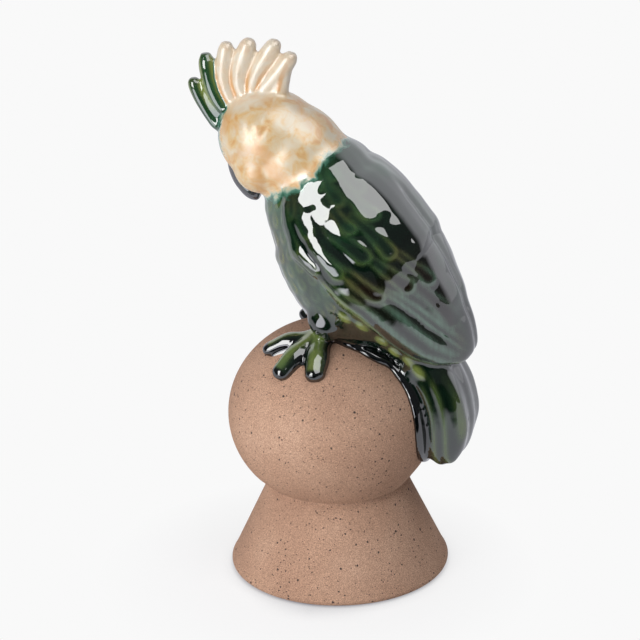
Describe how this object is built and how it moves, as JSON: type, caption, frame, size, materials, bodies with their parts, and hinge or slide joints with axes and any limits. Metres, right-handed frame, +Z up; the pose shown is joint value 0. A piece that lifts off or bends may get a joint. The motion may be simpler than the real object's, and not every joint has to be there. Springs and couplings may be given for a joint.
{
  "type": "parrot figurine",
  "caption": "Crested parrot perched on a ball over a flared cone foot, one hollow slip-cast piece with carved feathers and a tail that lies down the back of the ball.",
  "frame": {"origin": "centre of the round foot's flat underside", "axes": "+Z up the figurine; the bird looks along -X and its tail hangs on the +X side of the ball; the Y = 0 plane halves the bird"},
  "size_m": [0.1144, 0.0878, 0.2192],
  "materials": {
    "fired_stoneware": "glossy deep green reactive glaze on the bird, cream glaze on the head and crest, bare matt speckled tan stoneware on the ball and foot"
  },
  "bodies": {
    "root": {"parrot_figurine": "fired_stoneware"}
  },
  "joints": []
}
